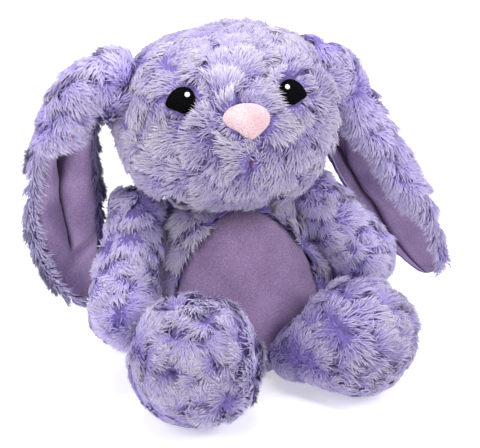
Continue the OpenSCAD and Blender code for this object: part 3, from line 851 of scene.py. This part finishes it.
def ear_surface(side, depth, lobes=0.0):
    """The ear's leaf carried along its path: a trough whose edges roll round until it closes at the root.

    A point is the path plus (radius + depth) * (wide * sin a - front * cos a), a from edge to edge.
    The lining swells into two lobes, one each side of its fold, that lean over it, and ripples a little.
    """
    path = np.array(EAR_PATHS[side], float) + EAR_ROOTS[side]
    right = side == "right"

    def place(u, v):
        """The point a fraction u across the leaf and v along it."""
        k = v
        middle = through(path, k)
        along = unit(through(path, np.minimum(k + 0.02, 1)) - through(path, np.maximum(k - 0.02, 0)))
        wide = unit(np.cross(along, EAR_FACES[side]))
        front = unit(np.cross(wide, along))
        back, fore = ear_edges(side, k)
        q = 2 * u - 1
        r = mix(EAR_ROOT_R[side], ear_width(k) / 2 / math.sin(EAR_OPEN), smooth(0.28, 0.5, k))
        r = r * mix(0.35, 1, np.sqrt(smooth(-0.02, 0.1, k)))
        if right:
            stretch = mix(1, 1.15, smooth(0.5, 0.62, k) * (1 - smooth(0.85, 1, k)))[..., None]
        else:
            r = r * mix(1, 0.84, smooth(0.3, 0.5, k))
            spread = mix(1, 2.25, smooth(0.2, 0.36, k) * (1 - 0.6 * smooth(0.85, 1, k)))
            stretch = np.where(q > 0, spread, 1.0)[..., None]
        a = np.radians(np.where(q < 0, q * back, q * fore))
        deep = (0.8 + (depth - 0.8) * np.sqrt(1 - np.abs(q) ** 6))[..., None] if depth else 0.0
        sa, ca = np.sin(a)[..., None], np.cos(a)[..., None]
        rr = r[..., None] + deep
        done = middle + wide * rr * sa * stretch + front * (r[..., None] * 0.8 - rr * ca)
        if lobes:
            _, s, which = fold_depth(side, u, v)
            open_k = smooth(0.24, 0.4, k) * mix(1, 0.4, smooth(0.72, 0.92, k))
            gap = mix(0.26, 0.03, smooth(0.36, 0.6, k))
            over = np.clip((s - gap) / (1 - gap), 0, 1)
            mound = mix(np.sin(np.pi * over ** 0.8) ** 0.65, np.sqrt(1 - q ** 2), smooth(0.74, 0.84, k))
            crease = 1 - 0.75 * np.exp(-((k - 0.83 - 0.06 * q) / 0.022) ** 2) * right
            swell = (lobes * open_k * crease * mound)[..., None]
            lean = (which * np.exp(-(s / 0.3) ** 2) * (1 - smooth(0.7, 0.82, k)))[..., None]
            done = done + front * swell * 0.85 - wide * swell * (0.25 * sa + 0.3 * lean)
            done = done + front * (ripple(done, 26, 23 if right else 24) * 1.1 * open_k)[..., None]
        return done
    return place


def ear_comb(side):
    """The ear's pile lies towards its tip and out over its nearer edge."""
    path = np.array(EAR_PATHS[side], float) + EAR_ROOTS[side]
    steps = np.linspace(0, 1, 40)
    line = through(path, steps)
    ways = unit(np.gradient(line, axis=0))

    def comb(p, n):
        """The path's own way at the nearest step, plus 0.35 of the way out from it."""
        near = ((p[:, None] - line[None]) ** 2).sum(-1).argmin(1)
        out = p - line[near]
        return ways[near] + unit(out - ways[near] * dot(out, ways[near])) * 0.35
    return comb


def ear_fringe(side):
    """How far the ear's pile turns out over its edges: both of the right ear's, and one of the left's."""
    def fringe(u, v):
        """Rises to 1 at the edge, and from nothing at the root."""
        reach = np.abs(2 * u - 1) if side == "right" else 1 - 2 * u
        return smooth(0.7, 1, reach) * smooth(0.15, 0.3, v)
    return fringe


def left_ear_clip(u, v):
    """Pile on the left ear's inner half, which lies behind its lining, is clipped to a tenth."""
    return mix(1, 0.1, smooth(0.3, 0.7, 2 * u - 1) * smooth(0.24, 0.36, v))


def ear_lining(side):
    """The ear's velour, with its fold's depth at each point as the attribute that paints shade into its
    crease.
    """
    across, along = LINING_GRID
    lining = new_object(f"ear_{side}_velour",
                        grid_of(ear_surface(side, 0.0, LOBES[side]), across, along).reshape(-1, 3),
                        grid_faces(across, along))
    v = np.linspace(0, 1, along + 1)
    # The fold's depth, faded in past the root, is the mask of the painted shade in the lining's crease.
    depth = fold_depth(side, *np.meshgrid(np.linspace(0, 1, across + 1), v))[0]
    depth = depth * smooth(0.2, 0.34, v)[:, None]
    layer = lining.data.attributes.new("fold", "FLOAT", "POINT")
    layer.data.foreach_set("value", depth.astype(np.float32).ravel())
    return finish_sheet(lining, 2.0)


for i, side in enumerate(("right", "left")):
    back = ear_surface(side, EAR_BACK_OUT)
    tufts = Tufts([(back, -1)], EAR_TUFT, ear_comb(side), wild=55, seed=30 + i)
    shape = {"clip": None if side == "right" else left_ear_clip, "fringe": ear_fringe(side)}
    body = f"ear_{side}"
    ground(body + "_cloth", body + "_back", body, back, -1, tufts, 48, 90, 3.0, **shape)
    coat(body + "_pile", body, "plush", back, -1, 24000, tufts, 130 + i, paint=LIT_PILE, **shape)
    dress(ear_lining(side), LINING, "velour", body, body + "_lining")


# ---- body --------------------------------------------------------------------

BODY_LO, BODY_HI = span("body_front_left", "body_front_right", "body_back_left", "body_back_right")
BODY_HALF_W = (BODY_HI[0] - BODY_LO[0]) / 2
# Height of the widest ring, the reach below and above it, the depth in front and behind as parts of the
# half width, the roundness and taper of the bell, and the angle at which the neck cuts it.
BELLY_Z, BODY_LOW, BODY_FRONT, BODY_BACK = 46.0, 66.0, 0.8, 0.86
BODY_HIGH, BODY_ROUND, BODY_TAPER, NECK_EDGE = 89.0, 2.3, 0.0026, 76.0
# The belly patch, between two of the body's rows: its greatest half angle and its turn to the left.
PATCH_FIRST, PATCH_LAST, PATCH_HALF, PATCH_TURN, BODY_ROWS = 3, 16, 46.0, 4.0, 18


def body_point(around, v, out=0.0):
    """The pear of the body: an ellipse at each height, its half width a rounded bell above the belly."""
    low = math.asin(-BELLY_Z / BODY_LOW)
    a = mix(low, math.radians(NECK_EDGE), v)
    z = BELLY_Z + np.sin(a) * np.where(a < 0, BODY_LOW + out, BODY_HIGH + out)
    h = z - BELLY_Z
    below = np.sqrt(np.maximum(0, 1 - (h / (BODY_LOW + out)) ** 2))
    bell = np.maximum(0, 1 - (np.abs(h) / (BODY_HIGH + out)) ** BODY_ROUND) ** (1 / BODY_ROUND)
    r = (BODY_HALF_W + out) * np.where(h < 0, below, (1 - BODY_TAPER * h) * bell)
    c = np.cos(np.radians(around))
    y = -r * c * np.where(c > 0, BODY_FRONT, BODY_BACK)
    return np.stack([r * np.sin(np.radians(around)), y, z], axis=-1)


def patch_angle(v):
    """Half angle of the belly patch at the height v."""
    s = (v * BODY_ROWS - PATCH_FIRST) / (PATCH_LAST - PATCH_FIRST)
    return PATCH_HALF * np.sqrt(np.maximum(0, 1 - np.abs(2 * s - 1) ** 2.2))


BODY_PANELS = {
    "body_front_left": lambda u, v: body_point(mix(PATCH_TURN + patch_angle(v), 90, u), v),
    "body_front_right": lambda u, v: body_point(mix(-90, PATCH_TURN - patch_angle(v), u), v),
    "body_back_left": lambda u, v: body_point(mix(90, 180, u), v),
    "body_back_right": lambda u, v: body_point(mix(-180, -90, u), v)}


def patch_place(out):
    """The belly patch: the body's own surface, bulging outwards between its seams."""
    def place(u, v):
        """The body's point, moved out by out * (1 - across^4) * the sine of the way up, kept to 1."""
        row = mix(PATCH_FIRST, PATCH_LAST, v) / BODY_ROWS
        half = patch_angle(row)
        bulge = out * (1 - (2 * u - 1) ** 4) * np.clip(np.sin(np.pi * v) * 1.6, 0, 1) ** 0.6
        return body_point(PATCH_TURN + (2 * u - 1) * half, row, bulge)
    return place


PATCH_MIDDLE = np.array([0, -60, 70])


def body_comb(p, n):
    """The body's pile lies downwards and away from the middle of the patch."""
    return unit(p - PATCH_MIDDLE) * 0.6 + np.array([0, 0, -0.8])


def body_trim(p, n):
    """Pile close to the ground is pressed short."""
    cut = mix(0.45, 1, smooth(2, 14, p[:, 2]))
    return np.ones(len(p), bool), cut, np.zeros_like(p), cut


body_tufts = Tufts([(place, 1) for place in BODY_PANELS.values()], BIG_TUFT, body_comb, wild=65, seed=51)
for i, (node, place) in enumerate(BODY_PANELS.items()):
    many = 15000 if "front" in node else 9000
    ground(node + "_cloth", node, "torso", place, 1, body_tufts, 48, 64, trim=body_trim)
    coat(node + "_pile", "torso", "plush", place, 1, many, body_tufts, 150 + i, trim=body_trim)

PATCH_OUT, PATCH_GRID = 3.5, 60
belly = new_object("belly_patch_velour",
                   grid_of(patch_place(PATCH_OUT), PATCH_GRID, PATCH_GRID).reshape(-1, 3),
                   grid_faces(PATCH_GRID, PATCH_GRID))
dress(finish_sheet(belly, 3.0), VELOUR, "velour", "torso", "belly_patch")


def seat_place(u, v):
    """The seat: a disc from its rim (v = 0) to its middle, a hair above the ground."""
    rim = body_point(mix(180, -180, u), np.zeros_like(u))
    return np.stack([rim[..., 0] * (1 - v), rim[..., 1] * (1 - v), np.full_like(u, SEAT_Z)], axis=-1)


def seat_comb(p, n):
    """The seat's pile lies straight out from its middle."""
    return p * np.array([1, 1, 0])


SEAT_Z = 1.4
seat = new_object("seat_cloth", grid_of(seat_place, 64, 12).reshape(-1, 3), grid_faces(64, 12)[:, ::-1])
dress(finish_sheet(seat, 1.2), GROUND, "plush", "torso", "seat_panel")
seat_tufts = Tufts([(seat_place, -1)], BIG_TUFT, seat_comb, wild=60, seed=61)
coat("seat_pile", "torso", "plush", seat_place, -1, 2000, seat_tufts, 160,
     length=8.0, sink=-0.3, floor=0.25, heap=0)

TAIL_LO, TAIL_HI = span("tail_skin")
TAIL_R = (TAIL_HI[2] - TAIL_LO[2]) / 2
TAIL_AT = (TAIL_LO + TAIL_HI) / 2
TAIL_AT[1] = TAIL_HI[1] - TAIL_R
TAIL_SEAM = 118  # degrees from the tail's outer pole to the seam


def tail_place(u, v):
    """The tail: a ball from its outer pole round to the seam on the body."""
    a, b = 2 * np.pi * u, np.radians(TAIL_SEAM * v)
    return TAIL_AT + TAIL_R * np.stack([np.sin(b) * np.cos(a), np.cos(b), np.sin(b) * np.sin(a)], axis=-1)


def tail_comb(p, n):
    """The tail's pile lies downwards."""
    return np.broadcast_to([0.0, 0.0, -1.0], p.shape)


tail_tufts = Tufts([(tail_place, 1)], TAIL_TUFT, tail_comb, wild=70, seed=71)
ground("tail_cloth", "tail_skin", "torso", tail_place, 1, tail_tufts, 48, 24)
coat("tail_pile", "torso", "plush", tail_place, 1, 4500, tail_tufts, 170)


# ---- arms and legs -----------------------------------------------------------

def limb_place(root, end, root_r, end_r, first, last, turn_from, turn_to):
    """A limb turned about the line from root to end: a ball, a cone that touches both, and a ball.

    It runs between two angles of its outline, first and last, from -90 at the root's pole to 90 at the
    end's, and is turned between two angles about its axis, all in degrees.
    """
    axis = end - root
    length = np.linalg.norm(axis)
    axis = axis / length
    flat = math.atan2(axis[1], axis[0])
    lean = math.acos(axis[2])
    e1 = np.array([math.cos(flat) * math.cos(lean), math.sin(flat) * math.cos(lean), -math.sin(lean)])
    e2 = np.array([-math.sin(flat), math.cos(flat), 0.0])
    tilt = math.asin((root_r - end_r) / length)
    cone = math.sqrt(length ** 2 - (root_r - end_r) ** 2)
    a, b = math.radians(first), math.radians(last)
    marks = np.cumsum([0, root_r * max(tilt - a, 0), cone if a < tilt else 0, end_r * (b - max(tilt, a))])

    def place(u, v):
        """The outline's point a fraction v of its length along, turned a fraction u round the axis."""
        s = v * marks[3]
        t0 = np.clip(a + s / root_r, a, tilt) if a < tilt else np.full_like(s, tilt)
        k = np.clip((s - marks[1]) / max(cone, 1e-6), 0, 1) if a < tilt else np.ones_like(s)
        t1 = max(tilt, a) + np.clip((s - marks[2]) / end_r, 0, None)
        p0 = np.stack([root_r * np.cos(t0), root_r * np.sin(t0)], axis=-1)
        p1 = np.stack([end_r * np.cos(t1), length + end_r * np.sin(t1)], axis=-1)
        p = mix(p0, p1, k[..., None])
        w = np.radians(mix(turn_from, turn_to, u))[..., None]
        return root + e1 * (p[..., :1] * np.cos(w)) + e2 * (p[..., :1] * np.sin(w)) + axis * p[..., 1:]
    return place


def limb_comb(root, end, spread, lean):
    """A limb's pile lies towards its end, leans one way, and spreads out from its axis."""
    axis = unit(end - root)

    def comb(p, n):
        """The axis, plus spread times the way out from it, plus the lean."""
        return axis + unit(p - root - axis * dot(p - root, axis)) * spread + np.array(lean)
    return comb


def press(outer, ground_from, root=None, axis=None):
    """Pile close to the ground, on the outer lower side of a limb, and at a leg's root, is pressed short."""
    def trim(p, n):
        """How much is kept: the product of a rise from the ground, the outer side's part and the root's."""
        low = smooth(0.25, 0.85, n[:, 0] * outer * 0.8 - n[:, 2] * 0.6)
        cut = mix(0.12, 1, smooth(0, ground_from, p[:, 2])) * mix(1, 0.3, low)
        if root is not None:
            cut = cut * mix(0.4, 1, smooth(4, 34, (p - root) @ axis))
        return np.ones(len(p), bool), np.sqrt(cut), np.zeros_like(p), cut
    return trim


def end_ball(lo, hi, end_r, outer):
    """Middle of the ball at a limb's free end: it fills the outer, front and lower sides of the box."""
    x = hi[0] - end_r if outer > 0 else lo[0] + end_r
    return np.array([x, lo[1] + end_r, lo[2] + end_r])


PAW_TO_SHOULDER = 21 / 17  # radius of the arm's end ball as a part of its root's
HIP_R = 18.0
SOLE_FROM = 28  # degrees: where the sole's seam crosses the outline of the leg
ARM_GROUND, LEG_GROUND = 6, 34  # heights, in millimetres, above which the pile is at full length
HALVES = {"right": {"front": (-90, 90), "back": (90, 270)}, "left": {"front": (90, 270), "back": (-90, 90)}}
for i, side in enumerate(("right", "left")):
    outer = -1 if side == "right" else 1
    body = f"arm_{side}"
    root = joint_at(body + "_swing")
    lo, hi = span(body + "_front", body + "_back")
    root_r = hi[2] - root[2]
    end_r = root_r * PAW_TO_SHOULDER
    end = end_ball(lo, hi, end_r, outer)
    places = {half: limb_place(root, end, root_r, end_r, -90, 90, *turn)
              for half, turn in HALVES[side].items()}
    comb = limb_comb(root, end, 0.0, (0.35 * outer, -0.5, -0.2))
    tufts = Tufts([(place, 1) for place in places.values()], LIMB_TUFT, comb, wild=70, seed=80 + i)
    short = press(outer, ARM_GROUND)
    for j, (half, place) in enumerate(places.items()):
        panel = f"{body}_{half}"
        ground(panel + "_cloth", panel, body, place, 1, tufts, 48, 64, trim=short)
        coat(panel + "_pile", body, "plush", place, 1, 12000, tufts, 180 + 4 * i + j,
             length=9.0, heap=4.0, trim=short, paint=LIT_PILE)

    body, foot = f"leg_{side}", f"foot_{side}"
    root = joint_at(body + "_swing")
    lo, hi = span(body + "_tube", foot + "_sole")
    end_r = (hi[2] - lo[2]) / 2
    end = end_ball(lo, hi, end_r, outer)
    tube = limb_place(root, end, HIP_R, end_r, -90, SOLE_FROM, 0, 360)
    sole = limb_place(root, end, HIP_R, end_r, SOLE_FROM, 90, 0, 360)
    comb = limb_comb(root, end, 0.3, (0, 0, -0.2))
    tufts = Tufts([(tube, 1), (sole, 1)], LIMB_TUFT, comb, wild=70, seed=90 + i)
    flat = press(outer, LEG_GROUND, root, unit(end - root))
    ground(body + "_cloth", body + "_tube", body, tube, 1, tufts, 96, 56, trim=flat)
    ground(foot + "_cloth", foot + "_sole", body, sole, 1, tufts, 96, 32, trim=flat)
    coat(body + "_pile", body, "plush", tube, 1, 14500, tufts, 200 + i, trim=flat, paint=SHADED_PILE)
    coat(foot + "_pile", body, "plush", sole, 1, 14000, tufts, 210 + i, trim=flat, paint=SHADED_PILE)


# ---- what the skins hide -----------------------------------------------------

FIBRE = filling_material("polyester_fibre", (222, 222, 218), (252, 252, 250), 260, (1, 1, 3))
BEANS = filling_material("plastic_beans", (188, 188, 184), (240, 240, 236), 480, None, 0.5)
POUCH = filling_material("pouch_weave", (214, 212, 204), (246, 244, 238), 1400)
COLLAR = filling_material("collar_plush", (120, 108, 168), (190, 182, 222), 600)
THREAD = filling_material("gather_thread", (224, 224, 228), (255, 255, 255), 1800, (1, 1, 4), 0.6)
INNER = {"bean_fill": BEANS, "bean_pouch": POUCH, "neck_collar": COLLAR, "neck_thread": THREAD}
for node, thing in frame["nodes"].items():
    inner = FIBRE if node.endswith("_stuffing") else INNER.get(node)
    if inner:
        thing.data.materials.clear()
        thing.data.materials.append(inner)


# ---- floor, light and camera -------------------------------------------------

FLOOR_HALF_W, FLOOR_NEAR, FLOOR_FAR, WALL_ROUND, WALL_TOP = 9000.0, -7000, 3200, 900, 6000


def floor():
    """A wide pale floor that curves up far behind: flat rows, a quarter circle, and a wall."""
    turn = np.linspace(0.1, np.pi / 2, 12)
    y = np.concatenate([np.linspace(FLOOR_NEAR, FLOOR_FAR, 6), FLOOR_FAR + WALL_ROUND * np.sin(turn),
                        [FLOOR_FAR + WALL_ROUND]])
    z = np.concatenate([np.zeros(6), WALL_ROUND - WALL_ROUND * np.cos(turn), [WALL_TOP]])
    x = np.array([-FLOOR_HALF_W, FLOOR_HALF_W])
    pts = np.stack([np.tile(x, len(y)), np.repeat(y, 2), np.repeat(z, 2)], axis=1)
    thing = new_object("floor", pts, grid_faces(1, len(y) - 1))
    made, nodes, links, shader = material("pale_floor", 0.9)
    shader.inputs["Emission Color"].default_value = (1, 1, 1, 1)
    shader.inputs["Emission Strength"].default_value = 0.42
    grain = noise_of(nodes, links, 3, 2, 0.5)
    tint = ramp(nodes, [(0.3, (250, 250, 251)), (0.7, (253, 253, 253))])
    links.new(grain.outputs["Fac"], tint.inputs["Fac"])
    links.new(tint.outputs["Color"], shader.inputs["Base Color"])
    thing.data.materials.append(made)


def lamp(name, place, aim, size, power):
    """A square soft light at a place, aimed at a point, in metres and watts."""
    data = bpy.data.lights.new(name, "AREA")
    data.shape, data.size, data.energy = "SQUARE", size, power
    thing = bpy.data.objects.new(name, data)
    bpy.context.scene.collection.objects.link(thing)
    thing.location = place
    thing.rotation_euler = (Vector(aim) - Vector(place)).to_track_quat("-Z", "Y").to_euler()


floor()
lamp("overhead", (-0.1, -0.08, 1.2), (0, -0.02, 0.1), 0.6, 11)
lamp("front_left", (-1.1, -0.6, 0.95), (0, 0, 0.2), 0.7, 9)
lamp("front_right", (1.0, -0.8, 0.95), (0, 0, 0.2), 0.6, 10.5)
world = bpy.data.worlds.new("studio")
bpy.context.scene.world = world
world.use_nodes = True
sky = world.node_tree.nodes["Background"]
sky.inputs["Color"].default_value = (1, 1, 1, 1)
sky.inputs["Strength"].default_value = 0.33
bpy.context.scene.view_settings.view_transform = "Standard"

CAMERA_TURN, CAMERA_RISE, CAMERA_AWAY = math.radians(-15), math.radians(20), 1.1
aim = Vector((0.0048, -0.0194, 0.1099))
toward = Vector((math.sin(CAMERA_TURN) * math.cos(CAMERA_RISE),
                 -math.cos(CAMERA_TURN) * math.cos(CAMERA_RISE),
                 math.sin(CAMERA_RISE)))
camera = bpy.data.objects.new("camera", bpy.data.cameras.new("camera"))
bpy.context.scene.collection.objects.link(camera)
camera.data.lens, camera.data.sensor_width = 110.0, 36.0
camera.location = aim + toward * CAMERA_AWAY
camera.rotation_euler = (-toward).to_track_quat("-Z", "Y").to_euler()
bpy.context.scene.camera = camera
